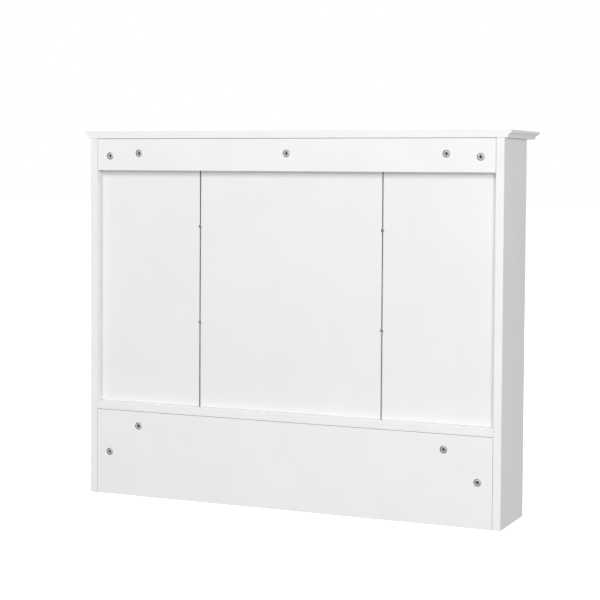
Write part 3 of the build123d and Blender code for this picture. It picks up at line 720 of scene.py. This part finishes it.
for door in doorNames:
    nodeName = f"{door}_door_knob"
    low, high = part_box(nodeName)
    mesh = makeKnob()
    mesh.name = camel(nodeName)
    mesh.materials.append(knobMetal)
    mesh.polygons.foreach_set("use_smooth", [True] * len(mesh.polygons))
    mesh.set_sharp_from_angle(angle=math.radians(40))
    knob = bpy.data.objects.new(camel(nodeName), mesh)
    bpy.context.scene.collection.objects.link(knob)
    foot = Vector(((low.x + high.x) / 2, high.y, (low.z + high.z) / 2))
    knob.matrix_world = placement(foot, Vector((0, -1, 0)))
    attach(knob, bodyOf[nodeName])
    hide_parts(nodeName)
print("cams, bolts, dowels and knobs made")

studio = {
    "floorSize": 60.0,
    "floorGlow": 0.7,
    "target": (0, 0, 0.4),  # what the softboxes look at
    "skyBelow": 0.54,  # light that reaches the cabinet from under the horizon, level with it and overhead
    "skyLevel": 0.38,
    "skyAbove": 0.52,
    "skyBand": 0.1,  # how far the level light reaches up and down, as a share of the whole height
}
softboxes = {  # place, size and power of each
    "key": ((1.4, 4.2, 3.6), (1.8, 1.1), 88.0),
    "side": ((-2.2, 2.9, 1.6), (0.8, 0.8), 46.0),
    "front": ((1.6, -3.6, 2.6), (2.2, 1.6), 60.0),
}

# Painted studio floor, rolled: matt and nearly white, with a trace of the roller
floorLook = {
    "tones": ("#EFEFEF", "#F2F2F2"), "patch": (700.0, 3.0, even), "grain": (6.0, 2.0, even),
    "rough": (0.75, 0.9), "relief": (0.1, 0.1),
}
floorPaint = surfaced("studioPaintRolled", floorLook, {
    "IOR": 1.4, "Emission Color": (1, 1, 1, 1), "Emission Strength": studio["floorGlow"]})
floorMesh = bpy.data.meshes.new("studioFloor")
half = studio["floorSize"] / 2
corners = [(-half, -half, 0), (half, -half, 0), (half, half, 0), (-half, half, 0)]
floorMesh.from_pydata(corners, [], [(0, 1, 2, 3)])
floorMesh.materials.append(floorPaint)
floor = bpy.data.objects.new("studioFloor", floorMesh)
bpy.context.scene.collection.objects.link(floor)
floor.visible_diffuse = False  # the floor shows, but throws no light up at the cabinet
floor.visible_glossy = False


def areaLight(name, place, size, power):
    data = bpy.data.lights.new(name, "AREA")
    data.shape = "RECTANGLE"
    data.size, data.size_y = size
    data.energy = power
    light = bpy.data.objects.new(name, data)
    light.location = place
    light.rotation_mode = "QUATERNION"
    light.rotation_quaternion = (Vector(studio["target"]) - Vector(place)).to_track_quat("-Z", "Y")
    bpy.context.scene.collection.objects.link(light)


for name, (place, size, power) in softboxes.items():
    areaLight(name + "Softbox", place, size, power)

world = bpy.data.worlds.new("whiteStudio")
bpy.context.scene.world = world
world.use_nodes = True
tree = world.node_tree
tree.nodes.clear()
path = addNode(tree, "ShaderNodeLightPath")
seen = addNode(tree, "ShaderNodeBackground", {"Color": (1, 1, 1, 1), "Strength": 1.0})
direction = addNode(tree, "ShaderNodeTexCoord").outputs["Generated"]
height = addNode(tree, "ShaderNodeSeparateXYZ", {"Vector": direction}).outputs["Z"]
grey = [(v, v, v, 1) for v in (studio["skyBelow"], studio["skyLevel"], studio["skyAbove"])]
upward = addNode(tree, "ShaderNodeMapRange", {"Value": height, "From Min": -1.0, "From Max": 1.0})
sky = addNode(tree, "ShaderNodeValToRGB", {"Fac": upward.outputs["Result"]},
              stops=[(0.5 - studio["skyBand"], grey[0]), (0.5, grey[1]), (0.5 + studio["skyBand"], grey[2])])
lit = addNode(tree, "ShaderNodeBackground", {"Color": sky.outputs["Color"], "Strength": 1.0})
either = addNode(tree, "ShaderNodeMixShader", {0: path.outputs["Is Camera Ray"]})
tree.links.new(lit.outputs[0], either.inputs[1])
tree.links.new(seen.outputs[0], either.inputs[2])
out = addNode(tree, "ShaderNodeOutputWorld")
tree.links.new(either.outputs[0], out.inputs["Surface"])
bpy.context.scene.view_settings.view_transform = "Standard"

cameraSettings = {
    "place": (-1.32597, 2.9903, 0.67436),
    "yaw": 23.035,  # from looking straight at the cabinet's back
    "pitch": -2.347,
    "roll": 0.391,
    "lens": 96.015,
    "shift": (-0.05, -0.1008),
}
cameraData = bpy.data.cameras.new("camera")
cameraData.lens = cameraSettings["lens"]
cameraData.sensor_width = 36.0
cameraData.shift_x, cameraData.shift_y = cameraSettings["shift"]
camera = bpy.data.objects.new("camera", cameraData)
bpy.context.scene.collection.objects.link(camera)
turn = (Matrix.Rotation(math.radians(180 + cameraSettings["yaw"]), 4, "Z")
        @ Matrix.Rotation(math.radians(90 + cameraSettings["pitch"]), 4, "X")
        @ Matrix.Rotation(math.radians(cameraSettings["roll"]), 4, "Z"))
camera.matrix_world = Matrix.Translation(cameraSettings["place"]) @ turn
bpy.context.scene.camera = camera
print("studio made")
